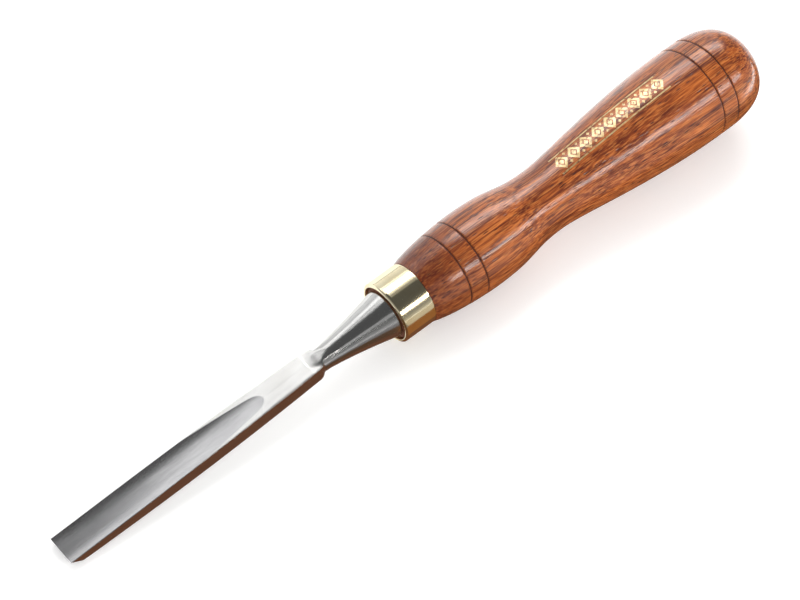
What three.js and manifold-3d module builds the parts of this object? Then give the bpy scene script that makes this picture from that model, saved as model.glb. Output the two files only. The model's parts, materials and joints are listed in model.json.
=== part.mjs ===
// Tanged carving-pattern chisel: a straight blade with a shallow channel, a brass ferrule, a turned handle.
//
// The tool is drawn on its own axis first: +X runs from the ferrule to the cutting edge, with X = 0 at the
// ferrule's front end, and +Z is the channel side. It is then laid down as it rests on a bench, on the heel
// of its bevel and the front swell of its handle, with the channel side up. Millimetres throughout.

import * as THREE from 'three';
import { mergeVertices } from 'three/addons/utils/BufferGeometryUtils.js';
import Module from 'manifold-3d';

const ROUND_SIDES = 64; // facets around a turned piece
const PROFILE_STEPS = 13; // facets along each curve of a turned piece
const GROUND_SIDES = 256; // facets around the large cylinders that the blade is ground with
const OUTLINE_STEPS = 20; // facets along each curve of the blade's outline
const FIT_GAP = 0.1; // clearance where two pieces meet

// Blade, a 9.5 mm (3/8 in) forging.
const BLADE_WIDTH = 9.5;
const BLADE_END = 109.2; // ferrule front to cutting edge
const PARALLEL_FROM = 90; // the two sides are flat and parallel from here to the edge
const ROOT_AT = 26.2; // the blade's root, where it has left the neck
const ROOT_WIDTH = 7.43;
const SHOULDER_LENGTH = 2.8; // the rounded shoulders between the neck and the root
const FACE_AT_ROOT = 2.555; // height of the flat upper face over the tool axis at the root
const FACE_FALL = 0.044; // fall of the upper face, per mm towards the edge
const BACK_AT_ROOT = -2.59; // height of the underside at the root
const BACK_LOWEST = -4.22; // height of the flat stretch of the underside behind the bevel
const BACK_FLAT_FROM = 93;

// Channel ground into the upper face, and the bevel rolled to the same curve so that the edge stays square.
const CHANNEL_RADIUS = 36;
const CHANNEL = { from: 37.4, fall: 0.0094 }; // where its floor would meet the face, and extra fall per mm
const CHANNEL_RUNOUT = { from: 42.3, fall: 0.03 }; // the steeper end that the wheel leaves
const BEVEL_ANGLE = THREE.MathUtils.degToRad(37.5);
const EDGE_LAND = 0.06; // thickness left at the cutting edge

// Bolster and neck.
const BOLSTER_RADIUS = 7.25;
const BOLSTER_RIM = 0.4; // cylindrical rim in front of the ferrule
const BOLSTER_CHAMFER = 0.25;
const BOLSTER_SEAT = -0.4; // the bolster's bearing face, just inside the ferrule
const FLARE_BEND = { at: 12.76, radius: 4.42 }; // pulls the flare between the bolster and the neck inwards
const NECK = { from: 22, to: 23, radius: 3.4 };
const NECK_DOME_BEND = { at: 25.6, radius: 3.3 };
const NECK_DOME_END = 27.2; // inside the blade

// Tapered square tang.
const TANG_LENGTH = 60;
const TANG_ROOT = 7;
const TANG_TIP = 3.5;
const TANG_OVERLAP = 2; // how far the tang's bar reaches into the bolster
const TANG_CLEARANCE = 0.15;
const SOCKET_END_GAP = 0.5; // room beyond the tang's tip
const PILOT_DRILLS = [
  { radius: 3.4, depth: 22 },
  { radius: 2.6, depth: 42 },
  { radius: 1.9, depth: 62 },
];

// Ferrule, 19 mm (3/4 in) brass tube.
const FERRULE_RADIUS = 9.525;
const FERRULE_WALL = 1;
const FERRULE_LENGTH = 10.4;
const FERRULE_FRONT_CHAMFER = 0.45;
const FERRULE_REAR_CHAMFER = 0.15;

// Handle profile. Distances are measured back from the ferrule's front end, and each swell and the waist
// reaches along its own tangent by `before` towards the ferrule and `after` towards the butt.
const NOSE = { slope: 0.37, after: 5.1 };
const FRONT_SWELL = { at: 32, radius: 12.2, before: 4.5, after: 15.1 };
const WAIST = { at: 58, radius: 9.8, before: 11.9, after: 8.7 };
const BUTT_SWELL = { at: 117, radius: 14.9, before: 26.8 };
const DOME_FROM = 120.4;
const DOME_REACH = 16.6; // how far the butt's sides carry on before they round over
const DOME_CROWN = 6.1; // half-width of the nearly flat crown of the butt
const BUTT_END = 136.6;
const TENON_SETBACK = 0.5; // the tenon's end face, inside the ferrule
const TENON_CHAMFER = 0.6;
const RINGS_AT = [21.7, 27.6, 115.8, 121.4]; // scribed rings
const RING_WIDTH = 0.8;
const RING_DEPTH = 0.4;

const wasm = await Module();
wasm.setup();

const steel = new THREE.MeshStandardMaterial({ color: 0xb9b8b4, roughness: 0.25, metalness: 1 });
const brass = new THREE.MeshStandardMaterial({ color: 0xd0a850, roughness: 0.2, metalness: 1 });
const wood = new THREE.MeshStandardMaterial({ color: 0x93491f, roughness: 0.25, metalness: 0 });

function toSolid(geometry) {
  const bare = geometry.clone();
  bare.deleteAttribute('normal');
  bare.deleteAttribute('uv');
  const merged = mergeVertices(bare, 1e-4);
  return new wasm.Manifold(new wasm.Mesh({
    numProp: 3,
    vertProperties: new Float32Array(merged.attributes.position.array),
    triVerts: new Uint32Array(merged.index.array),
  }));
}

function toGeometry(solid) {
  const mesh = solid.getMesh();
  const geometry = new THREE.BufferGeometry();
  geometry.setAttribute('position', new THREE.BufferAttribute(new Float32Array(mesh.vertProperties), 3));
  geometry.setIndex(new THREE.BufferAttribute(new Uint32Array(mesh.triVerts), 1));
  return geometry;
}

// Revolves an outline of (radius, X) points, drawn from the butt towards the edge, around the tool axis.
function turned(outline) {
  return new THREE.LatheGeometry(outline, ROUND_SIDES).rotateZ(-Math.PI / 2);
}

// A long cylinder whose lowest line passes through (x, 0, z) and climbs by `climb` radians towards +X.
function grindingCylinder(radius, x, z, climb) {
  const length = 4 * BLADE_END;
  return new THREE.CylinderGeometry(radius, radius, length, GROUND_SIDES)
    .rotateZ(-Math.PI / 2)
    .translate(0, 0, radius)
    .rotateY(-climb)
    .translate(x, 0, z);
}

function faceHeight(x) {
  return FACE_AT_ROOT - FACE_FALL * (x - ROOT_AT);
}

const EDGE_HEIGHT = faceHeight(BLADE_END) - CHANNEL.fall * (BLADE_END - CHANNEL.from);
const HEEL_AT = BLADE_END - (EDGE_HEIGHT - EDGE_LAND - BACK_LOWEST) / Math.tan(BEVEL_ANGLE);

// The blade's outline seen from the side, as a slab wider than the blade.
function sideSlab() {
  const start = ROOT_AT - SHOULDER_LENGTH;
  const outline = new THREE.Shape();
  outline.moveTo(start, faceHeight(start));
  outline.lineTo(start, BACK_AT_ROOT / 2);
  outline.quadraticCurveTo(start, BACK_AT_ROOT, ROOT_AT, BACK_AT_ROOT);
  outline.quadraticCurveTo((ROOT_AT + BACK_FLAT_FROM) / 2, BACK_LOWEST, BACK_FLAT_FROM, BACK_LOWEST);
  outline.lineTo(BLADE_END, BACK_LOWEST);
  outline.lineTo(BLADE_END, faceHeight(BLADE_END));
  outline.closePath();
  const depth = 2 * BLADE_WIDTH;
  return new THREE.ExtrudeGeometry(outline, { depth, bevelEnabled: false, curveSegments: OUTLINE_STEPS })
    .rotateX(Math.PI / 2)
    .translate(0, depth / 2, 0);
}

// The blade's outline seen from above, as a slab thicker than the blade.
function planSlab() {
  const start = ROOT_AT - SHOULDER_LENGTH;
  const beyond = BLADE_END + 1;
  const half = BLADE_WIDTH / 2;
  const rootHalf = ROOT_WIDTH / 2;
  const middle = (ROOT_AT + PARALLEL_FROM) / 2;
  const outline = new THREE.Shape();
  outline.moveTo(start, -rootHalf / 2);
  outline.quadraticCurveTo(start, -rootHalf, ROOT_AT, -rootHalf);
  outline.quadraticCurveTo(middle, -half, PARALLEL_FROM, -half);
  outline.lineTo(beyond, -half);
  outline.lineTo(beyond, half);
  outline.lineTo(PARALLEL_FROM, half);
  outline.quadraticCurveTo(middle, half, ROOT_AT, rootHalf);
  outline.quadraticCurveTo(start, rootHalf, start, rootHalf / 2);
  outline.closePath();
  const depth = 4 * BLADE_WIDTH;
  return new THREE.ExtrudeGeometry(outline, { depth, bevelEnabled: false, curveSegments: OUTLINE_STEPS })
    .translate(0, 0, -depth / 2);
}

// The cylinder that grinds a channel's floor, from a place on the face and falling away from the face.
function channelCylinder({ from, fall }) {
  return grindingCylinder(CHANNEL_RADIUS, from, faceHeight(from), -Math.atan(FACE_FALL + fall));
}

function groundBlade() {
  const channel = toSolid(channelCylinder(CHANNEL)).intersect(toSolid(channelCylinder(CHANNEL_RUNOUT)));
  const bevelRadius = CHANNEL_RADIUS / Math.cos(BEVEL_ANGLE);
  const bevel = grindingCylinder(bevelRadius, BLADE_END, EDGE_HEIGHT - EDGE_LAND, BEVEL_ANGLE);
  return toSolid(sideSlab())
    .intersect(toSolid(planSlab()))
    .intersect(toSolid(bevel))
    .subtract(channel);
}

function bolsterAndNeck() {
  const outline = new THREE.Path();
  outline.moveTo(0, BOLSTER_SEAT);
  outline.lineTo(BOLSTER_RADIUS - BOLSTER_CHAMFER, BOLSTER_SEAT);
  outline.lineTo(BOLSTER_RADIUS, BOLSTER_SEAT + BOLSTER_CHAMFER);
  outline.lineTo(BOLSTER_RADIUS, BOLSTER_RIM);
  outline.quadraticCurveTo(FLARE_BEND.radius, FLARE_BEND.at, NECK.radius, NECK.from);
  outline.lineTo(NECK.radius, NECK.to);
  outline.quadraticCurveTo(NECK_DOME_BEND.radius, NECK_DOME_BEND.at, 0, NECK_DOME_END);
  return turned(outline.getPoints(PROFILE_STEPS));
}

// A tapered square bar from `front` back to `length` behind the ferrule's front end.
function squareTaper(front, length, clearance) {
  const taper = (TANG_ROOT - TANG_TIP) / TANG_LENGTH;
  const side = (depth) => TANG_ROOT - taper * depth + 2 * clearance;
  const cornerRadius = (depth) => side(depth) / Math.SQRT2;
  return new THREE.CylinderGeometry(cornerRadius(-front), cornerRadius(length), front + length, 4)
    .rotateY(Math.PI / 4)
    .rotateZ(-Math.PI / 2)
    .translate((front - length) / 2, 0, 0);
}

function bladeGeometry() {
  return toGeometry(groundBlade()
    .add(toSolid(bolsterAndNeck()))
    .add(toSolid(squareTaper(TANG_OVERLAP, TANG_LENGTH, 0))));
}

function ferruleGeometry() {
  const inner = FERRULE_RADIUS - FERRULE_WALL;
  const outline = [
    [inner, -FERRULE_LENGTH],
    [FERRULE_RADIUS - FERRULE_REAR_CHAMFER, -FERRULE_LENGTH],
    [FERRULE_RADIUS, FERRULE_REAR_CHAMFER - FERRULE_LENGTH],
    [FERRULE_RADIUS, -FERRULE_FRONT_CHAMFER],
    [FERRULE_RADIUS - FERRULE_FRONT_CHAMFER, 0],
    [inner, 0],
    [inner, -FERRULE_LENGTH],
  ];
  return turned(outline.map(([radius, x]) => new THREE.Vector2(radius, x)));
}

function handleOutline() {
  const shoulder = FERRULE_LENGTH + FIT_GAP;
  const tenonRadius = FERRULE_RADIUS - FERRULE_WALL - FIT_GAP;
  const noseRadius = FERRULE_RADIUS + NOSE.slope * NOSE.after;
  const outline = new THREE.Path();
  outline.moveTo(0, -BUTT_END);
  outline.bezierCurveTo(DOME_CROWN, -BUTT_END, BUTT_SWELL.radius, -DOME_FROM - DOME_REACH,
    BUTT_SWELL.radius, -DOME_FROM);
  outline.lineTo(BUTT_SWELL.radius, -BUTT_SWELL.at);
  outline.bezierCurveTo(BUTT_SWELL.radius, -BUTT_SWELL.at + BUTT_SWELL.before,
    WAIST.radius, -WAIST.at - WAIST.after, WAIST.radius, -WAIST.at);
  outline.bezierCurveTo(WAIST.radius, -WAIST.at + WAIST.before,
    FRONT_SWELL.radius, -FRONT_SWELL.at - FRONT_SWELL.after, FRONT_SWELL.radius, -FRONT_SWELL.at);
  outline.bezierCurveTo(FRONT_SWELL.radius, -FRONT_SWELL.at + FRONT_SWELL.before,
    noseRadius, -shoulder - NOSE.after, FERRULE_RADIUS, -shoulder);
  outline.lineTo(tenonRadius, -shoulder);
  outline.lineTo(tenonRadius, -TENON_SETBACK - TENON_CHAMFER);
  outline.lineTo(tenonRadius - TENON_CHAMFER, -TENON_SETBACK);
  outline.lineTo(0, -TENON_SETBACK);
  return outline.getPoints(PROFILE_STEPS);
}

// Outer radius of the handle at a distance behind the ferrule's front end.
function handleRadius(outline, distance) {
  const after = outline.findIndex((point) => -point.y <= distance);
  const from = outline[after - 1];
  const to = outline[after];
  const share = (-distance - from.y) / (to.y - from.y);
  return THREE.MathUtils.lerp(from.x, to.x, share);
}

// Cuts the sharp-bottomed ring that a turner's point leaves in the wood.
function withScribedRing(outline, distance) {
  const half = RING_WIDTH / 2;
  const rim = (place) => new THREE.Vector2(handleRadius(outline, place), -place);
  const bottom = new THREE.Vector2(handleRadius(outline, distance) - RING_DEPTH, -distance);
  const behind = outline.filter((point) => -point.y > distance + RING_WIDTH);
  const ahead = outline.filter((point) => -point.y < distance - RING_WIDTH);
  return [...behind, rim(distance + half), bottom, rim(distance - half), ...ahead];
}

function handleGeometry() {
  let handle = toSolid(turned(RINGS_AT.reduce(withScribedRing, handleOutline())));
  for (const { radius, depth } of PILOT_DRILLS) {
    const drill = new THREE.CylinderGeometry(radius, radius, depth, ROUND_SIDES / 2)
      .rotateZ(-Math.PI / 2)
      .translate(-depth / 2, 0, 0);
    handle = handle.subtract(toSolid(drill));
  }
  return toGeometry(handle.subtract(toSolid(squareTaper(0, TANG_LENGTH + SOCKET_END_GAP, TANG_CLEARANCE))));
}

// Lays the tool down: the bevel's heel and the front swell both touch the plane Z = 0, and the origin is
// below the middle of the tool.
function layDown(geometries) {
  const slopes = handleOutline().map((point) => (point.x + BACK_LOWEST) / (HEEL_AT - point.y));
  const restAngle = Math.atan(Math.max(...slopes));
  const box = new THREE.Box3();
  for (const geometry of geometries) {
    geometry.rotateY(restAngle);
    geometry.computeBoundingBox();
    box.union(geometry.boundingBox);
  }
  const middle = box.getCenter(new THREE.Vector3());
  for (const geometry of geometries) geometry.translate(-middle.x, -middle.y, -box.min.z);
}

const blade = new THREE.Mesh(bladeGeometry(), steel);
blade.name = 'blade';
const ferrule = new THREE.Mesh(ferruleGeometry(), brass);
ferrule.name = 'ferrule';
const handle = new THREE.Mesh(handleGeometry(), wood);
handle.name = 'handle';
layDown([blade.geometry, ferrule.geometry, handle.geometry]);

const chisel = new THREE.Group();
chisel.add(blade, ferrule, handle);

export default chisel;
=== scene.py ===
"""Carving chisel: the detailed visual model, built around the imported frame.

Everything is modelled on the tool's own axes and then laid down by one matrix. On those axes +X runs to the
cutting edge, X = 0 is the ferrule's front end and +Z is the channel side. Sizes are in millimetres until MM.
"""

import json
import math

import bmesh
import bpy
from mathutils import Matrix, Vector


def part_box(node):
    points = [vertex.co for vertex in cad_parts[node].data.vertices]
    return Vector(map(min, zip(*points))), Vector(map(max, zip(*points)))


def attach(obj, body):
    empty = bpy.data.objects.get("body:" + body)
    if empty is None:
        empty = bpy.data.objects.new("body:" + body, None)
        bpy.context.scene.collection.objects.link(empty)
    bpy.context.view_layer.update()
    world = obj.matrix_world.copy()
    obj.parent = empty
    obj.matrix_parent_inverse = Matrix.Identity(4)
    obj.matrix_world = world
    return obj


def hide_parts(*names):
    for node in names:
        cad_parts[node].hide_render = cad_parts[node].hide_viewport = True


MM = 0.001

# Blade
BLADE_WIDTH = 9.5
BLADE_END = 109.2
PARALLEL_FROM = 90
ROOT_AT = 26.2
ROOT_WIDTH = 7.43
SHOULDER_LENGTH = 2.8
FACE_AT_ROOT = 2.555
FACE_FALL = 0.044
BACK_AT_ROOT = -2.59
BACK_LOWEST = -4.22
BACK_FLAT_FROM = 93
CHANNEL_RADIUS = 36
CHANNEL = {"from": 37.4, "fall": 0.0094}
CHANNEL_RUNOUT = {"from": 42.3, "fall": 0.03}
BEVEL_ANGLE = math.radians(37.5)
EDGE_LAND = 0.06
ARRIS = 0.16  # radius of the rounded corners
ARRIS_SHARE = 2.6  # the side is at least this many times as tall as a corner's radius
FILLET = 1.2  # blend where the blade's flats run into the neck

# Bolster, neck and tang
BOLSTER_RADIUS = 7.25
BOLSTER_SEAT = -0.4
BOLSTER_RIM = 0.4
FLARE_BEND = {"at": 12.76, "radius": 4.42}
NECK = {"from": 22, "to": 23, "radius": 3.4}
NECK_RUNOUT_BEND = {"at": 24.2, "radius": 3.3}
NECK_RUNOUT_END = {"at": 29, "radius": 0.9}  # well inside the blade
SCOOP = {"from": 27.5, "rise": 0.021, "blend": 0.3}  # the face curving up into the neck
TANG_LENGTH = 60
TANG_ROOT = 7
TANG_TIP = 3.5
TANG_CLEARANCE = 0.15

# Ferrule
FERRULE_RADIUS = 9.525
FERRULE_WALL = 1
FERRULE_LENGTH = 10.4
FIT_GAP = 0.1

# Handle, measured back from the ferrule's front end
NOSE = {"slope": 0.37, "after": 5.1}
FRONT_SWELL = {"at": 32, "radius": 12.2, "before": 4.5, "after": 15.1}
WAIST = {"at": 58, "radius": 9.8, "before": 11.9, "after": 8.7}
BUTT_SWELL = {"at": 117, "radius": 14.9, "before": 26.8}
DOME_FROM = 120.4
DOME_REACH = 16.6
DOME_CROWN = 6.1
BUTT_END = 136.6
TENON_SETBACK = 0.5
TENON_CHAMFER = 0.6
RINGS_AT = (21.7, 27.6, 115.8, 121.4)
RING_WIDTH = 0.8
RING_DEPTH = 0.4
PILOT_DRILLS = ((3.4, 22), (2.6, 42), (1.9, 62))

# Gold-foil ornament along the top of the handle
FOIL_FROM = 63.5
FOIL_TO = 105
FOIL_HEIGHT = 6.6
FOIL_TURN = math.radians(-3)

# Camera
VIEW_TURN = math.radians(49.9)
VIEW_RISE = math.radians(53.3)
VIEW_DISTANCE = 608.8
VIEW_AIM = (-5.13, 0.36, 2.26)  # from the ferrule's front end
LENS = 100

# Stage
FLOOR_GLOW = 0.28  # lightens the shadow
CARD_HEIGHT = 0.0003  # metres above the floor
TOP_CARD_HEIGHT = 0.0004
CARDS = (  # name, two corners in metres, the colour it glows with, height
    ("card_by_tool", (-0.35, 0.004), (0.35, 0.014), (0.17, 0.075, 0.042), CARD_HEIGHT),
    ("card_by_ferrule", (-0.35, 0.014), (0.013, 0.039), (0.30, 0.13, 0.048), CARD_HEIGHT),
    ("card_by_bolster", (0.013, 0.014), (0.35, 0.039), (0.12, 0.068, 0.038), CARD_HEIGHT),
    ("card_behind", (-0.6, 0.039), (0, 0.4), (0.60, 0.56, 0.50), CARD_HEIGHT),
    ("card_ahead", (0, 0.039), (0.6, 0.4), (0.26, 0.255, 0.26), CARD_HEIGHT),
    ("card_by_butt", (-0.40, 0.042), (-0.155, 0.08), (6.5, 6.2, 5.9), TOP_CARD_HEIGHT),
)

AROUND = 192  # sides of the turned pieces

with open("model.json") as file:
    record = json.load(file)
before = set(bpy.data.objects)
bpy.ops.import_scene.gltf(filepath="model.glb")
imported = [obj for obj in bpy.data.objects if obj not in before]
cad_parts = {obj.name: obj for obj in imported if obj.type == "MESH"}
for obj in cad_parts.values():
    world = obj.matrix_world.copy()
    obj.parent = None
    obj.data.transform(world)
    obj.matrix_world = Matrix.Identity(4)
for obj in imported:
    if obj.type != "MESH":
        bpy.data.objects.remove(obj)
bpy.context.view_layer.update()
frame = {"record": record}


# --- The tool's axes in the row frame ---------------------------------------------------------------------


def tool_matrix():
    mounts = {mount["name"]: mount for mount in frame["record"]["mounts"]}
    back = Vector(mounts["blade_back"]["axis"])
    turn = Matrix.Rotation(math.atan2(-back.x, -back.z), 4, "Y")
    low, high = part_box("ferrule")
    front = (Vector(low) + Vector(high)) / 2 + turn @ Vector((FERRULE_LENGTH / 2 * MM, 0, 0))
    return Matrix.Translation(front) @ turn


TOOL = tool_matrix()


# --- Mesh helpers -----------------------------------------------------------------------------------------


def bezier(start, first, second, end, count):
    """Points of a cubic curve, without its end point."""
    points = []
    for i in range(count):
        t = i / count
        u = 1 - t
        weights = (u**3, 3 * u * u * t, 3 * u * t * t, t**3)
        pairs = list(zip(weights, (start, first, second, end)))
        points.append(tuple(sum(weight * point[k] for weight, point in pairs) for k in (0, 1)))
    return points


def steps(start, end, spacing):
    """Evenly spaced values from start up to, but not including, end."""
    count = max(1, round(abs(end - start) / spacing))
    return [start + (end - start) * i / count for i in range(count)]


def polar(radius, angle):
    return radius * math.sin(angle), radius * math.cos(angle)


def circle_ring(x, radius, count=AROUND):
    return [(x, *polar(radius, 2 * math.pi * i / count)) for i in range(count)]


def square_ring(x, half, count=AROUND):
    ring = []
    for i in range(count):
        angle = 2 * math.pi * i / count
        reach = half / max(abs(math.sin(angle)), abs(math.cos(angle)))
        ring.append((x, *polar(reach, angle)))
    return ring


def outer_ring(a, b):
    """The larger of two rings on the same axis, point by point."""
    return [p if math.hypot(*p[1:]) > math.hypot(*q[1:]) else q for p, q in zip(a, b)]


def loft(rings, closed=False, mesh=None):
    """A surface through rings of points.

    A ring of one point closes an end, and closed joins the last ring to the first.
    """
    mesh = mesh or bmesh.new()
    rows = [[mesh.verts.new(point) for point in ring] for ring in rings]
    pairs = list(zip(rows, rows[1:]))
    if closed:
        pairs.append((rows[-1], rows[0]))
    for a, b in pairs:
        count = max(len(a), len(b))
        for i in range(count):
            j = (i + 1) % count
            corners = [a[i], a[j]] if len(a) > 1 else [a[0]]
            corners += [b[j], b[i]] if len(b) > 1 else [b[0]]
            mesh.faces.new(corners)
    return mesh


def finish_piece(name, mesh, materials, body="root", node=None, sharp=30):
    """Turns a bmesh in millimetres on the tool's axes into a smooth-shaded object in the frame."""
    bmesh.ops.recalc_face_normals(mesh, faces=mesh.faces)
    for face in mesh.faces:
        face.smooth = True
    for edge in mesh.edges:
        edge.smooth = edge.smooth and edge.calc_face_angle(0) < math.radians(sharp)
    data = bpy.data.meshes.new(name)
    mesh.to_mesh(data)
    mesh.free()
    data.transform(TOOL @ Matrix.Scale(MM, 4))
    for material in materials:
        data.materials.append(material)
    piece = bpy.data.objects.new(name, data)
    bpy.context.scene.collection.objects.link(piece)
    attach(piece, body)
    if node:
        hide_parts(node)
    return piece


# --- Node helpers -----------------------------------------------------------------------------------------


class Nodes:
    """A short way to write a material's node tree."""

    def __init__(self, name):
        self.material = bpy.data.materials.new(name)
        self.material.use_nodes = True
        self.tree = self.material.node_tree
        self.shader = self.tree.nodes["Principled BSDF"]
        self.place = self.tool_place()

    def add(self, kind, **settings):
        node = self.tree.nodes.new(kind)
        for key, value in settings.items():
            setattr(node, key, value)
        return node

    def tool_place(self):
        """Millimetres on the tool's axes."""
        node = self.add("ShaderNodeMapping")
        self.join(self.add("ShaderNodeTexCoord").outputs["Object"], node.inputs["Vector"])
        location, rotation, _ = TOOL.inverted().decompose()
        node.inputs["Location"].default_value = location / MM
        node.inputs["Rotation"].default_value = rotation.to_euler()
        node.inputs["Scale"].default_value = (1 / MM,) * 3
        return node.outputs["Vector"]

    def join(self, source, target):
        self.tree.links.new(source, target)

    def fill(self, socket, value):
        if hasattr(value, "links"):
            self.join(value, socket)
        else:
            socket.default_value = value

    def stretched(self, scale):
        """The place with each axis scaled, in cycles per millimetre."""
        node = self.add("ShaderNodeMapping")
        self.join(self.place, node.inputs["Vector"])
        node.inputs["Scale"].default_value = scale
        return node.outputs["Vector"]

    def along(self):
        """Millimetres along the tool, 0 at the ferrule's front end."""
        node = self.add("ShaderNodeSeparateXYZ")
        self.join(self.place, node.inputs[0])
        return node.outputs["X"]

    def noise(self, scale, detail=3.0, rough=0.55, warp=0.0):
        node = self.add("ShaderNodeTexNoise")
        self.join(self.stretched(scale), node.inputs["Vector"])
        node.inputs["Scale"].default_value = 1.0
        node.inputs["Detail"].default_value = detail
        node.inputs["Roughness"].default_value = rough
        node.inputs["Distortion"].default_value = warp
        return node.outputs["Fac"]

    def cells(self, scale):
        node = self.add("ShaderNodeTexVoronoi", feature="F1")
        self.join(self.stretched(scale), node.inputs["Vector"])
        node.inputs["Scale"].default_value = 1.0
        return node.outputs["Distance"]

    def span(self, value, low, high, to_low=0.0, to_high=1.0):
        node = self.add("ShaderNodeMapRange", clamp=True)
        amounts = {"Value": value, "From Min": low, "From Max": high, "To Min": to_low, "To Max": to_high}
        for name, amount in amounts.items():
            self.fill(node.inputs[name], amount)
        return node.outputs["Result"]

    def math(self, operation, a, b=0.0):
        node = self.add("ShaderNodeMath", operation=operation)
        self.fill(node.inputs[0], a)
        self.fill(node.inputs[1], b)
        return node.outputs[0]

    def mix(self, factor, a, b, mode="MIX"):
        node = self.add("ShaderNodeMix", data_type="RGBA", blend_type=mode)
        for socket, value in ((node.inputs[0], factor), (node.inputs[6], a), (node.inputs[7], b)):
            self.fill(socket, value)
        return node.outputs[2]

    def bump(self, height, distance, strength=1.0):
        node = self.add("ShaderNodeBump")
        node.inputs["Strength"].default_value = strength
        node.inputs["Distance"].default_value = distance
        self.join(height, node.inputs["Height"])
        self.join(node.outputs["Normal"], self.shader.inputs["Normal"])
        return node


def srgb(red, green, blue):
    """Linear colour from 0-255 display values."""
    def linear(value):
        value /= 255
        return value / 12.92 if value <= 0.04045 else ((value + 0.055) / 1.055) ** 2.4
    return (linear(red), linear(green), linear(blue), 1.0)


# --- Materials --------------------------------------------------------------------------------------------


def wood_material():
    """Reddish-brown hardwood under gloss lacquer, its grain along the tool's axis."""
    n = Nodes("lacquered_hardwood")
    figure = n.noise((0.018, 0.18, 0.18), detail=3, warp=0.5)
    streaks = n.noise((0.030, 0.85, 0.85), detail=4, rough=0.6)
    fibres = n.noise((0.11, 2.6, 2.6), detail=3)
    pores = n.span(n.cells((0.20, 1.15, 1.15)), 0.12, 0.26, 1.0, 0.0)
    patches = n.span(n.noise((0.05, 0.3, 0.3), detail=2), 0.40, 0.60)
    body = n.mix(n.span(figure, 0.38, 0.62), srgb(138, 62, 21), srgb(180, 94, 37))
    body = n.mix(n.span(streaks, 0.45, 0.61, 0.0, 0.92), body, srgb(86, 29, 9))
    body = n.mix(n.span(fibres, 0.48, 0.66, 0.0, 0.55), body, srgb(218, 134, 66))
    body = n.mix(n.span(fibres, 0.50, 0.35, 0.0, 0.55), body, srgb(76, 25, 9))
    # Painted shade: the wood is darkened towards the ferrule, most at the nose and fading out behind the
    # front swell.
    body = n.mix(n.span(n.along(), -36, -14, 0.0, 0.60), body, srgb(84, 30, 10))
    ink = n.math("MULTIPLY", pores, n.span(patches, 0, 1, 0.45, 1.0))
    body = n.mix(ink, body, srgb(44, 16, 10))
    n.join(body, n.shader.inputs["Base Color"])
    n.join(n.span(streaks, 0.3, 0.7, 0.40, 0.52), n.shader.inputs["Roughness"])
    n.shader.inputs["Specular IOR Level"].default_value = 0.2
    n.shader.inputs["Coat Weight"].default_value = 1.0
    n.shader.inputs["Coat Roughness"].default_value = 0.11
    n.shader.inputs["Coat IOR"].default_value = 1.5
    grain = n.math("ADD", streaks, n.math("MULTIPLY", fibres, 0.3))
    relief = n.math("SUBTRACT", grain, n.math("MULTIPLY", pores, 0.5))
    bump = n.bump(relief, 0.00006)
    n.join(bump.outputs["Normal"], n.shader.inputs["Coat Normal"])
    return n.material


def burnt_material():
    """The dark floor of a scribed ring."""
    n = Nodes("scribed_ring")
    tone = n.noise((0.3, 0.9, 0.9), detail=2)
    colour = n.mix(n.span(tone, 0.3, 0.7), srgb(64, 28, 18), srgb(96, 48, 33))
    n.join(colour, n.shader.inputs["Base Color"])
    n.shader.inputs["Roughness"].default_value = 0.5
    n.bump(tone, 0.00003)
    return n.material


def bare_wood_material():
    """Unlacquered wood of the tenon and the socket."""
    n = Nodes("bare_hardwood")
    streaks = n.noise((0.03, 0.7, 0.7), detail=4)
    colour = n.mix(n.span(streaks, 0.3, 0.7), srgb(96, 52, 30), srgb(150, 92, 58))
    n.join(colour, n.shader.inputs["Base Color"])
    n.shader.inputs["Roughness"].default_value = 0.75
    n.bump(streaks, 0.00005)
    return n.material


def brass_material():
    """Polished brass with faint turning lines and finger haze."""
    n = Nodes("polished_brass")
    lines = n.noise((9, 0.06, 0.06), detail=2)
    haze = n.noise((0.16, 0.16, 0.16), detail=4)
    colour = n.mix(n.span(haze, 0.35, 0.7), (0.92, 0.83, 0.58, 1), (0.84, 0.72, 0.46, 1))
    n.join(colour, n.shader.inputs["Base Color"])
    n.shader.inputs["Metallic"].default_value = 1.0
    n.join(n.span(haze, 0.3, 0.75, 0.10, 0.18), n.shader.inputs["Roughness"])
    n.bump(lines, 0.0000025)
    return n.material


def polished_look(n, waves=0.0):
    """Colour, roughness and fine lengthwise lines of polished steel, with broader waves if wanted."""
    haze = n.noise((0.09, 0.26, 0.26), detail=4)
    fine_lines = n.noise((0.12, 6, 6), detail=3)
    lines = n.math("ADD", fine_lines, n.math("MULTIPLY", n.noise((0.02, 0.8, 0.8)), waves))
    colour = n.mix(n.span(haze, 0.3, 0.7), (0.70, 0.70, 0.69, 1), (0.60, 0.595, 0.585, 1))
    return colour, n.span(haze, 0.3, 0.7, 0.15, 0.22), lines


def ground_look(n, lines_scale):
    """Colour, roughness and lines of steel straight off a fine wheel."""
    haze = n.noise((0.06, 0.45, 0.45), detail=4)
    lines = n.noise(lines_scale, detail=4)
    colour = n.mix(n.span(haze, 0.3, 0.7), (0.50, 0.50, 0.505, 1), (0.43, 0.43, 0.44, 1))
    colour = n.mix(n.span(lines, 0.35, 0.65, 0.0, 0.25), colour, (0.60, 0.60, 0.60, 1))
    return colour, n.span(haze, 0.3, 0.7, 0.15, 0.21), lines


def steel_material():
    """Bright polished steel."""
    n = Nodes("polished_steel")
    colour, roughness, lines = polished_look(n, waves=18)
    n.join(colour, n.shader.inputs["Base Color"])
    n.join(roughness, n.shader.inputs["Roughness"])
    n.shader.inputs["Metallic"].default_value = 1.0
    n.bump(lines, 0.000002)
    return n.material


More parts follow.
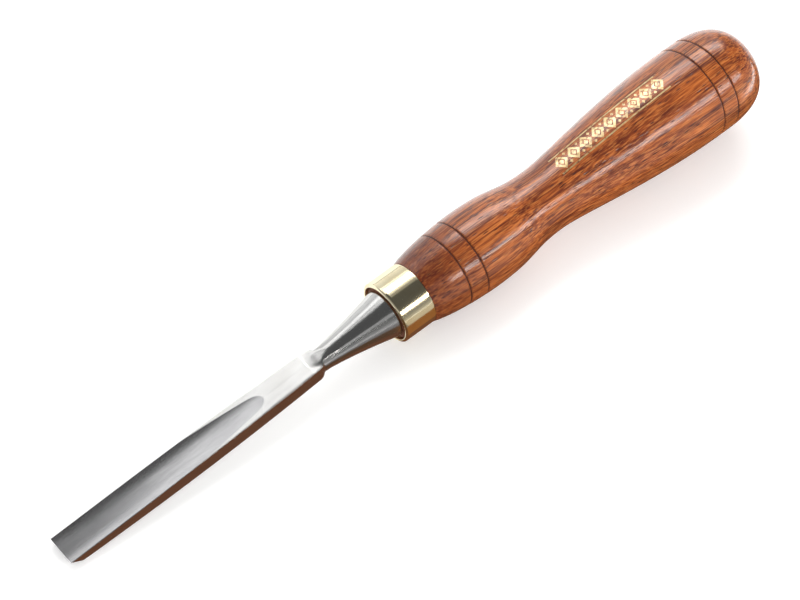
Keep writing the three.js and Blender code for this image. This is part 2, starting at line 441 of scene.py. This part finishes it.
def bevel_material():
    """The bevel, with grinding lines across the blade."""
    n = Nodes("ground_steel")
    colour, roughness, lines = ground_look(n, (5, 0.24, 0.24))
    n.join(colour, n.shader.inputs["Base Color"])
    n.join(roughness, n.shader.inputs["Roughness"])
    n.shader.inputs["Metallic"].default_value = 1.0
    n.bump(lines, 0.000003)
    return n.material


def face_material():
    """The upper face: polished, and ground inside the channel's outline."""
    n = Nodes("face_steel")
    inside = n.span(channel_mask(n), -0.12, 0.12)
    bright, bright_rough, bright_lines = polished_look(n)
    dull, dull_rough, dull_lines = ground_look(n, (0.10, 5, 5))
    n.join(n.mix(inside, bright, dull), n.shader.inputs["Base Color"])
    dull_share = n.math("MULTIPLY", inside, dull_rough)
    bright_share = n.math("MULTIPLY", n.math("SUBTRACT", 1.0, inside), bright_rough)
    n.join(n.math("ADD", dull_share, bright_share), n.shader.inputs["Roughness"])
    n.shader.inputs["Metallic"].default_value = 1.0
    n.bump(n.math("ADD", bright_lines, n.math("MULTIPLY", dull_lines, inside)), 0.000002)
    return n.material


def channel_mask(n):
    """Positive inside the channel's outline on the face: half the chord, less the distance across."""
    split = n.add("ShaderNodeSeparateXYZ")
    n.join(n.place, split.inputs[0])
    depths = [n.math("MULTIPLY", n.math("SUBTRACT", split.outputs["X"], cut["from"]), cut["fall"])
              for cut in (CHANNEL, CHANNEL_RUNOUT)]
    depth = n.math("MAXIMUM", n.math("MINIMUM", *depths), 0.0)
    chord = n.math("SQRT", n.math("MULTIPLY", depth, 2 * CHANNEL_RADIUS))
    return n.math("SUBTRACT", chord, n.math("ABSOLUTE", split.outputs["Y"]))


def foil_material():
    """Hot-stamped gold foil under the lacquer, slightly worn."""
    n = Nodes("gold_foil")
    wear = n.noise((0.8, 1.3, 1.3), detail=4)
    worn = n.span(wear, 0.56, 0.66)
    gold = n.mix(n.span(wear, 0.35, 0.55), (0.80, 0.62, 0.33, 1), (0.60, 0.43, 0.20, 1))
    n.join(n.mix(worn, gold, srgb(120, 62, 34)), n.shader.inputs["Base Color"])
    n.join(n.math("SUBTRACT", 1.0, worn), n.shader.inputs["Metallic"])
    n.join(n.span(wear, 0.35, 0.65, 0.38, 0.55), n.shader.inputs["Roughness"])
    n.shader.inputs["Coat Weight"].default_value = 1.0
    n.shader.inputs["Coat Roughness"].default_value = 0.15
    n.bump(wear, 0.00001)
    return n.material


# --- Blade ------------------------------------------------------------------------------------------------


def face_height(x):
    return FACE_AT_ROOT - FACE_FALL * (x - ROOT_AT)


def channel_depth(x):
    """Depth of the channel's floor below the face."""
    return min(cut["fall"] * (x - cut["from"]) for cut in (CHANNEL, CHANNEL_RUNOUT))


def channel_chord(x):
    """Half the channel's width where it meets the face."""
    return math.sqrt(2 * CHANNEL_RADIUS * max(channel_depth(x), 0))


def channel_height(x, y):
    return face_height(x) - channel_depth(x) + CHANNEL_RADIUS - math.sqrt(CHANNEL_RADIUS**2 - y * y)


def top_height(x, y):
    return min(face_height(x), channel_height(x, y))


def parabola(x, start, end, from_value, to_value):
    """A curve that leaves start at from_value and arrives level at end."""
    share = min(max((end - x) / (end - start), 0), 1)
    return to_value - (to_value - from_value) * share**2


def shoulder(x, value):
    """Rounds a half-size down to half of itself over the shoulders behind the root."""
    t = math.sqrt(min(max((x - ROOT_AT) / SHOULDER_LENGTH + 1, 0), 1))
    return value * (1 - (1 - t) ** 2 / 2)


def half_width(x):
    return shoulder(x, parabola(x, ROOT_AT, PARALLEL_FROM, ROOT_WIDTH / 2, BLADE_WIDTH / 2))


def back_height(x):
    return shoulder(x, parabola(x, ROOT_AT, BACK_FLAT_FROM, BACK_AT_ROOT, BACK_LOWEST))


def bevel_height(x, y):
    return channel_height(BLADE_END, y) - EDGE_LAND - (BLADE_END - x) * math.tan(BEVEL_ANGLE)


def bottom_height(x, y):
    return max(back_height(x), bevel_height(x, y))


IN_CHANNEL = 40  # steps across the channel
ON_LAND = 8  # steps across the face on each side of it
ACROSS = IN_CHANNEL + 2 * ON_LAND
DOWN = 18  # steps down each side
CORNER = 4  # of them in each rounded corner


def places_across(x, reach):
    """Places across the face, with the channel's outline always on the same two of them."""
    outline = min(max(channel_chord(x), 0.2 * reach), 0.94 * reach)
    land = [outline + (reach - outline) * i / ON_LAND for i in range(1, ON_LAND + 1)]
    middle = [outline * (2 * i / IN_CHANNEL - 1) for i in range(IN_CHANNEL + 1)]
    return [-y for y in reversed(land)] + middle + land


def side_places(half, top, bottom, ease):
    """Places down one side, with both of its corners rounded."""
    turns = [math.radians(90) * i / CORNER for i in range(1, CORNER + 1)]
    upper = [(half - ease + ease * math.sin(turn), top - ease + ease * math.cos(turn)) for turn in turns]
    lower = [(y, top + bottom - z) for y, z in reversed(upper)]
    count = DOWN + 2 - 2 * CORNER
    drop = bottom - top + 2 * ease
    return upper + [(half, top - ease + drop * i / count) for i in range(1, count)] + lower


def blade_ring(x):
    """One section of the blade: the upper face, the near side, the underside and the far side."""
    half = half_width(x)
    bottom = bottom_height(x, half)
    ease = min(ARRIS, (top_height(x, half) - bottom) / ARRIS_SHARE)
    across = places_across(x, half - ease)
    side = side_places(half, top_height(x, half - ease), bottom, ease)
    ring = [(x, y, top_height(x, y)) for y in across]
    ring += [(x, y, z) for y, z in side]
    ring += [(x, y, bottom_height(x, y)) for y in reversed(across)]
    ring += [(x, -y, z) for y, z in reversed(side)]
    return ring


def swollen_ring(ring, radius):
    """A section joined with a round neck of the given radius, with a small fillet where they meet."""
    joined = []
    for x, y, z in ring:
        own = math.hypot(y, z)
        near = max(FILLET - abs(own - radius), 0) / FILLET
        reach = max(own, radius) + near * near * FILLET / 4
        joined.append((x, y / own * reach, z / own * reach))
    return joined


def scooped_ring(ring):
    """Grinds the top of a section down to the face, which curves up into the neck behind the root."""
    ground = []
    for x, y, z in ring:
        back = max(SCOOP["from"] - x, 0)
        limit = face_height(x) + SCOOP["rise"] * back**2
        blend = SCOOP["blend"] * min(back / 3, 1) + 1e-6
        near = max(blend - abs(limit - z), 0)
        ground.append((x, y, min(z, limit) - near * near / (4 * blend)))
    return ground


def quadratic(start, bend, end, count):
    """Points of a quadratic curve, without its end point."""
    shares = [i / count for i in range(count)]
    return [tuple((1 - t) ** 2 * a + 2 * t * (1 - t) * b + t * t * c for a, b, c in zip(start, bend, end))
            for t in shares]


def neck_profile():
    """Radius of the bolster and neck along the tool, as (radius, x) points."""
    flare_bend = (FLARE_BEND["radius"], FLARE_BEND["at"])
    neck_start = (NECK["radius"], NECK["from"])
    neck_end = (NECK["radius"], NECK["to"])
    runout_bend = (NECK_RUNOUT_BEND["radius"], NECK_RUNOUT_BEND["at"])
    runout_end = (NECK_RUNOUT_END["radius"], NECK_RUNOUT_END["at"])
    seat_corner = [(BOLSTER_RADIUS - 0.3, BOLSTER_SEAT), (BOLSTER_RADIUS - 0.08, BOLSTER_SEAT + 0.08)]
    rim = [(BOLSTER_RADIUS, BOLSTER_SEAT + 0.3), (BOLSTER_RADIUS, BOLSTER_RIM - 0.12)]
    flare = quadratic((BOLSTER_RADIUS - 0.03, BOLSTER_RIM), flare_bend, neck_start, 70)
    runout = quadratic(neck_end, runout_bend, runout_end, 40)
    return seat_corner + rim + flare + runout + [runout_end]


def radius_at(profile, x):
    """Radius of a turned profile at a place, from its (radius, x) points."""
    for (r0, x0), (r1, x1) in zip(profile, profile[1:]):
        if x0 <= x <= x1:
            return r0 + (r1 - r0) * (x - x0) / max(x1 - x0, 1e-9)
    return profile[-1][0]


def tang_rings(section):
    """The square tapered tang, from its tip, with the same points round it as a section of the blade."""
    rings = [[(-TANG_LENGTH - 0.01, 0, 0)]]
    for depth in (TANG_LENGTH, TANG_LENGTH * 2 / 3, TANG_LENGTH / 3, -BOLSTER_SEAT):
        half = (TANG_ROOT - (TANG_ROOT - TANG_TIP) * depth / TANG_LENGTH) / 2
        bar = []
        for _, y, z in section:
            reach = half / max(abs(y), abs(z))
            bar.append((-depth, y * reach, z * reach))
        rings.append(bar)
    return rings


def blade_stations(profile, heel):
    shoulder_at = ROOT_AT - SHOULDER_LENGTH
    stations = [x for _, x in profile if x < shoulder_at - 0.5]
    stations += steps(shoulder_at - 0.5, NECK_RUNOUT_END["at"] + 0.5, 0.1)
    stations += steps(NECK_RUNOUT_END["at"] + 0.5, CHANNEL_RUNOUT["from"] - 0.5, 1.0)
    stations += steps(CHANNEL_RUNOUT["from"] - 0.5, CHANNEL_RUNOUT["from"] + 4, 0.12)
    stations += steps(CHANNEL_RUNOUT["from"] + 4, CHANNEL_RUNOUT["from"] + 30, 0.5)
    stations += steps(CHANNEL_RUNOUT["from"] + 30, heel, 1.0)
    return stations + steps(heel, BLADE_END, 0.08) + [BLADE_END]


def build_blade(polished, face_steel, ground):
    profile = neck_profile()
    heel = BLADE_END - 4
    rings = tang_rings(blade_ring(ROOT_AT))
    for x in blade_stations(profile, heel):
        section = [(x, y, z) for _, y, z in blade_ring(max(x, ROOT_AT - SHOULDER_LENGTH))]
        if x < NECK_RUNOUT_END["at"]:
            section = swollen_ring(section, radius_at(profile, x))
        rings.append(scooped_ring(section) if x < SCOOP["from"] else section)
    mesh = loft(rings)
    close_edge(mesh, len(rings[-1]))
    mark_channel_outline(mesh)
    for face in mesh.faces:
        x, y, z = face.calc_center_median()
        if x > heel and abs(z - bevel_height(x, y)) < 0.02:
            face.material_index = 2
        elif x > ROOT_AT and z > top_height(x, y) - 0.02:
            face.material_index = 1
    materials = [polished, face_steel, ground]
    return finish_piece("blade_forged", mesh, materials, node="blade")


def close_edge(mesh, count):
    """Fills the thin land at the cutting edge, between the last ring's upper and lower rows."""
    mesh.verts.ensure_lookup_table()
    last = mesh.verts[-count:]
    start_bottom = ACROSS + DOWN + 2
    for i in range(ACROSS):
        lower = start_bottom + ACROSS - i
        mesh.faces.new((last[i], last[i + 1], last[lower - 1], last[lower]))
    mesh.faces.new(last[ACROSS: start_bottom + 1])
    mesh.faces.new(list(last[start_bottom + ACROSS:]) + [last[0]])


def mark_channel_outline(mesh):
    """Keeps the channel's outline crisp where it lies on the face."""
    for edge in mesh.edges:
        places = [vert.co for vert in edge.verts]
        on_face = all(CHANNEL_RUNOUT["from"] < p.x and abs(p.z - face_height(p.x)) < 0.002 for p in places)
        if on_face and all(abs(abs(p.y) - channel_chord(p.x)) < 0.02 for p in places):
            edge.smooth = False


# --- Ferrule ----------------------------------------------------------------------------------------------


def build_ferrule(brass):
    """The tube, with a small corner at the handle's end and a rolled-in rim at the blade's end."""
    inner = FERRULE_RADIUS - FERRULE_WALL
    rounding = 0.12
    profile = [(inner, -FERRULE_LENGTH + 0.1), (inner + 0.1, -FERRULE_LENGTH)]
    profile += [(FERRULE_RADIUS - rounding, -FERRULE_LENGTH), (FERRULE_RADIUS - 0.03, -FERRULE_LENGTH + 0.03)]
    profile += [(FERRULE_RADIUS, -FERRULE_LENGTH + rounding)]
    profile += [(FERRULE_RADIUS, x) for x in steps(-FERRULE_LENGTH + 0.6, -0.7, 0.5)]
    profile += [(FERRULE_RADIUS, -0.5), (FERRULE_RADIUS - 0.02, -0.42), (FERRULE_RADIUS - 0.4, -0.03)]
    profile += [(FERRULE_RADIUS - 0.47, 0), (inner + 0.15, 0), (inner + 0.04, -0.04), (inner, -0.15)]
    profile += [(inner, x) for x in steps(-1, -FERRULE_LENGTH + 1, 2)]
    mesh = loft([circle_ring(x, radius) for radius, x in profile], closed=True)
    return finish_piece("ferrule_tube", mesh, [brass], node="ferrule")


# --- Handle -----------------------------------------------------------------------------------------------


def handle_outline():
    """The handle's outer profile from the butt to the ferrule, as (radius, x) points."""
    shoulder_at = FERRULE_LENGTH + FIT_GAP
    butt, waist, front = BUTT_SWELL, WAIST, FRONT_SWELL
    nose_radius = FERRULE_RADIUS + NOSE["slope"] * NOSE["after"]
    points = bezier((0, -BUTT_END), (DOME_CROWN, -BUTT_END), (butt["radius"], -DOME_FROM - DOME_REACH),
                    (butt["radius"], -DOME_FROM), 60)
    points += [(butt["radius"], x) for x in steps(-DOME_FROM, -butt["at"], 0.5)]
    points += bezier((butt["radius"], -butt["at"]), (butt["radius"], -butt["at"] + butt["before"]),
                     (waist["radius"], -waist["at"] - waist["after"]), (waist["radius"], -waist["at"]), 70)
    points += bezier((waist["radius"], -waist["at"]), (waist["radius"], -waist["at"] + waist["before"]),
                     (front["radius"], -front["at"] - front["after"]), (front["radius"], -front["at"]), 40)
    points += bezier((front["radius"], -front["at"]), (front["radius"], -front["at"] + front["before"]),
                     (nose_radius, -shoulder_at - NOSE["after"]), (FERRULE_RADIUS, -shoulder_at), 44)
    return points + [(FERRULE_RADIUS, -shoulder_at)]


def with_rings(outline):
    """Adds the scribed rings, each a sharp groove with softened lips."""
    for distance in RINGS_AT:
        half = RING_WIDTH / 2
        shape = ((-1.5, 0.0), (-1.15, 0.01), (-1.0, 0.06), (-0.5, 0.5), (-0.12, 0.95), (0.12, 0.95),
                 (0.5, 0.5), (1.0, 0.06), (1.15, 0.01), (1.5, 0.0))
        groove = [(radius_at(outline, -distance + half * k) - RING_DEPTH * deep, -distance + half * k)
                  for k, deep in shape]
        behind = [p for p in outline if p[1] < groove[0][1] - 0.05]
        ahead = [p for p in outline if p[1] > groove[-1][1] + 0.05]
        outline = behind + groove + ahead
    return outline


def build_handle(wood, burnt, bare):
    outline = with_rings(handle_outline())
    shoulder_at = FERRULE_LENGTH + FIT_GAP
    tenon = FERRULE_RADIUS - FERRULE_WALL - FIT_GAP
    rings = [[(outline[0][1], 0, 0)]] + [circle_ring(x, radius) for radius, x in outline[1:]]
    rings += [circle_ring(-shoulder_at, tenon), circle_ring(-TENON_SETBACK - TENON_CHAMFER, tenon)]
    rings += [circle_ring(-TENON_SETBACK, tenon - TENON_CHAMFER)]
    depth_before = TENON_SETBACK
    for radius, depth in PILOT_DRILLS:
        for place in (depth_before, depth):
            taper = (TANG_ROOT - TANG_TIP) / TANG_LENGTH
            half = (TANG_ROOT - taper * min(place, TANG_LENGTH)) / 2 + TANG_CLEARANCE
            socket = outer_ring(square_ring(-place, half), circle_ring(-place, radius))
            rings.append(socket if place < TANG_LENGTH + 1 else circle_ring(-place, radius))
        depth_before = depth
    rings.append([(-depth_before, 0, 0)])
    mesh = loft(rings)
    for face in mesh.faces:
        x, y, z = face.calc_center_median()
        radius = math.hypot(y, z)
        in_ring = any(abs(x + distance) < RING_WIDTH * 0.36 for distance in RINGS_AT)
        if x > -shoulder_at or radius < FERRULE_RADIUS - 1.2 and x > -PILOT_DRILLS[-1][1] - 1:
            face.material_index = 2
        elif in_ring and radius < radius_at(handle_outline(), x) - 0.1 * RING_DEPTH:
            face.material_index = 1
    materials = [wood, burnt, bare]
    return finish_piece("handle_turned", mesh, materials, node="handle", sharp=40)


# --- Foil ornament ----------------------------------------------------------------------------------------


LOZENGES = 9
RULE_WIDTH = 0.42
FOIL_LIFT = 0.03  # how far the foil stands proud of the wood
FOIL_ROOT = -0.05  # how far its edges reach into the wood


def subdivided(corners, count=8):
    """The corners of a flat outline with points added along its sides."""
    points = []
    for (x0, y0), (x1, y1) in zip(corners, corners[1:] + corners[:1]):
        points += [(x0 + (x1 - x0) * i / count, y0 + (y1 - y0) * i / count) for i in range(count)]
    return points


def lozenge(middle, height, long, tall):
    left, right = (middle - long, height), (middle + long, height)
    return [left, (middle, height - tall), right, (middle, height + tall)]


def build_foil(foil):
    """A row of lozenges between two rules, each a thin closed shape wrapped on the handle."""
    outline = handle_outline()
    mesh = bmesh.new()

    def wrapped(points, lift):
        ring = []
        for distance, height in points:
            radius = radius_at(outline, -distance)
            ring.append((-distance, *polar(radius + lift, FOIL_TURN + height / radius)))
        return ring

    def solid(corners, centre):
        rim = subdivided(corners)
        loft([wrapped([centre], FOIL_LIFT), wrapped(rim, FOIL_LIFT), wrapped(rim, FOIL_ROOT),
              wrapped([centre], FOIL_ROOT)], mesh=mesh)

    def hollow(outer, inner):
        rim, hole = subdivided(outer), subdivided(inner)
        loft([wrapped(rim, FOIL_LIFT), wrapped(hole, FOIL_LIFT), wrapped(hole, FOIL_ROOT),
              wrapped(rim, FOIL_ROOT)], closed=True, mesh=mesh)

    def rule(low, high):
        middle = (low + high) / 2
        rings = [wrapped([(FOIL_FROM, middle)], 0)]
        for x in steps(FOIL_FROM, FOIL_TO, 0.8) + [FOIL_TO]:
            above = wrapped([(x, low), (x, high)], FOIL_LIFT)
            rings.append(above + wrapped([(x, high), (x, low)], FOIL_ROOT))
        loft(rings + [wrapped([(FOIL_TO, middle)], 0)], mesh=mesh)

    pitch = (FOIL_TO - FOIL_FROM) / LOZENGES
    half = FOIL_HEIGHT / 2
    rule(-half, -half + RULE_WIDTH)
    rule(half - RULE_WIDTH, half)
    for i in range(LOZENGES):
        middle = FOIL_FROM + pitch * (i + 0.5)
        tall = half - 1.7 * RULE_WIDTH
        long = pitch * 0.48
        hollow(lozenge(middle, 0, long, tall), lozenge(middle, 0, long * 0.55, tall * 0.55))
        solid(lozenge(middle, 0, long * 0.34, tall * 0.34), (middle, 0))
        if i:
            for side in (-1, 1):
                centre = (middle - pitch / 2, side * tall * 0.66)
                solid(lozenge(*centre, 0.5, 0.55), centre)
    return finish_piece("handle_foil", mesh, [foil])


# --- Stage, lights and camera -----------------------------------------------------------------------------


def add_sheet(name, low, high, height):
    """A flat rectangle between two corners, as part of the stage."""
    data = bpy.data.meshes.new(name)
    corners = [(low[0], low[1]), (high[0], low[1]), (high[0], high[1]), (low[0], high[1])]
    data.from_pydata([(x, y, height) for x, y in corners], [], [(0, 1, 2, 3)])
    sheet = bpy.data.objects.new(name, data)
    bpy.context.scene.collection.objects.link(sheet)
    return sheet


def build_floor():
    floor = add_sheet("floor", (-4, -4), (4, 4), 0.0)
    n = Nodes("floor_paint")
    n.shader.inputs["Base Color"].default_value = (0.88, 0.88, 0.875, 1)
    n.shader.inputs["Roughness"].default_value = 0.9
    n.shader.inputs["Specular IOR Level"].default_value = 0.0
    n.shader.inputs["Emission Color"].default_value = (1, 1, 1, 1)
    n.shader.inputs["Emission Strength"].default_value = FLOOR_GLOW
    floor.data.materials.append(n.material)


def build_cards():
    """Cards lying on the near side that show only in reflections.

    They are brown by the tool and paler beyond, with one bright card near the butt.
    """
    for name, low, high, glow, height in CARDS:
        card = add_sheet(name, low, high, height)
        card.visible_camera = False
        card.visible_diffuse = False
        card.visible_shadow = False
        n = Nodes(name + "_paint")
        light = n.add("ShaderNodeEmission")
        light.inputs["Color"].default_value = (*glow, 1)
        n.join(light.outputs[0], n.tree.nodes["Material Output"].inputs["Surface"])
        card.data.materials.append(n.material)


def add_panel(name, side, rise, reach, distance, radiance, colour=(1, 1, 1)):
    """A soft panel facing the tool's axis from the far (-1) or near (+1) side.

    It spans the rise in degrees and the reach along X in metres. Radiance is what a mirror would show.
    """
    low, high = (math.radians(angle) for angle in rise)
    middle = (low + high) / 2
    width = reach[1] - reach[0]
    height = 2 * distance * math.tan((high - low) / 2)
    data = bpy.data.lights.new(name, "AREA")
    data.shape = "RECTANGLE"
    data.size, data.size_y = width, height
    data.color = colour
    data.energy = radiance * math.pi * width * height
    panel = bpy.data.objects.new(name, data)
    toward = Vector((0, side * math.cos(middle), math.sin(middle)))
    panel.location = toward * distance + Vector((sum(reach) / 2, 0, 0))
    across = Vector((1, 0, 0))
    panel.rotation_euler = Matrix((across, toward.cross(across), toward)).transposed().to_euler()
    panel.visible_camera = False
    bpy.context.scene.collection.objects.link(panel)
    return panel


def build_lights():
    warm = (1.0, 0.98, 0.95)
    add_panel("far_core", -1, (51, 71), (-0.85, -0.15), 0.75, 4.2, warm)
    add_panel("far_upper", -1, (71, 79), (-0.85, -0.15), 0.75, 0.9, warm)
    add_panel("far_top", -1, (79, 88), (-0.85, -0.15), 0.75, 0.25, warm)
    add_panel("far_broad", -1, (40, 67), (-1.2, 0.045), 0.9, 1.25)
    add_panel("far_land", -1, (34, 53), (0.04, 0.12), 0.9, 1.2)
    add_panel("far_lower", -1, (5, 42), (-1.2, 0.06), 0.95, 0.66)
    add_panel("far_ahead", -1, (5, 72), (0.26, 3.0), 3.0, 1.05)
    add_panel("near_ahead", 1, (34, 48), (0.0, 0.6), 0.75, 0.33)
    add_panel("near_strip", 1, (26.5, 35.5), (-0.8, -0.05), 0.75, 9.0, (1.0, 0.97, 0.94))
    top = add_panel("overhead_fill", -1, (60, 120), (-1.5, 1.5), 1.8, 0.70)
    near = add_panel("near_fill", 1, (5, 50), (-1.2, 1.2), 1.5, 1.5)
    for fill in (top, near):
        fill.visible_glossy = False


def build_world():
    """A neutral room, bright below and at the horizon and dim overhead."""
    world = bpy.data.worlds.new("studio")
    world.use_nodes = True
    tree = world.node_tree
    place = tree.nodes.new("ShaderNodeTexCoord")
    split = tree.nodes.new("ShaderNodeSeparateXYZ")
    ramp = tree.nodes.new("ShaderNodeValToRGB")
    tree.links.new(place.outputs["Generated"], split.inputs[0])
    tree.links.new(split.outputs["Z"], ramp.inputs[0])
    tree.links.new(ramp.outputs[0], tree.nodes["Background"].inputs["Color"])
    stops = ramp.color_ramp.elements
    stops[0].position, stops[0].color = 0.0, (0.55, 0.55, 0.55, 1)
    stops[1].position, stops[1].color = 0.5, (0.09, 0.09, 0.09, 1)
    middle = stops.new(0.18)
    middle.color = (0.28, 0.28, 0.28, 1)
    bpy.context.scene.world = world


def build_camera():
    target = TOOL.translation + Vector(VIEW_AIM) * MM
    back = Vector((math.cos(VIEW_RISE) * math.cos(VIEW_TURN), math.cos(VIEW_RISE) * math.sin(VIEW_TURN),
                   math.sin(VIEW_RISE)))
    data = bpy.data.cameras.new("camera")
    data.lens = LENS
    data.sensor_width = 36
    data.clip_start, data.clip_end = 0.01, 20
    camera = bpy.data.objects.new("camera", data)
    camera.location = target + back * VIEW_DISTANCE * MM
    camera.rotation_euler = back.to_track_quat("Z", "Y").to_euler()
    bpy.context.scene.collection.objects.link(camera)
    bpy.context.scene.camera = camera


# --- Scene ------------------------------------------------------------------------------------------------

build_camera()
build_blade(steel_material(), face_material(), bevel_material())
build_ferrule(brass_material())
build_handle(wood_material(), burnt_material(), bare_wood_material())
build_foil(foil_material())
build_floor()
build_cards()
build_lights()
build_world()
bpy.context.scene.view_settings.view_transform = "Standard"
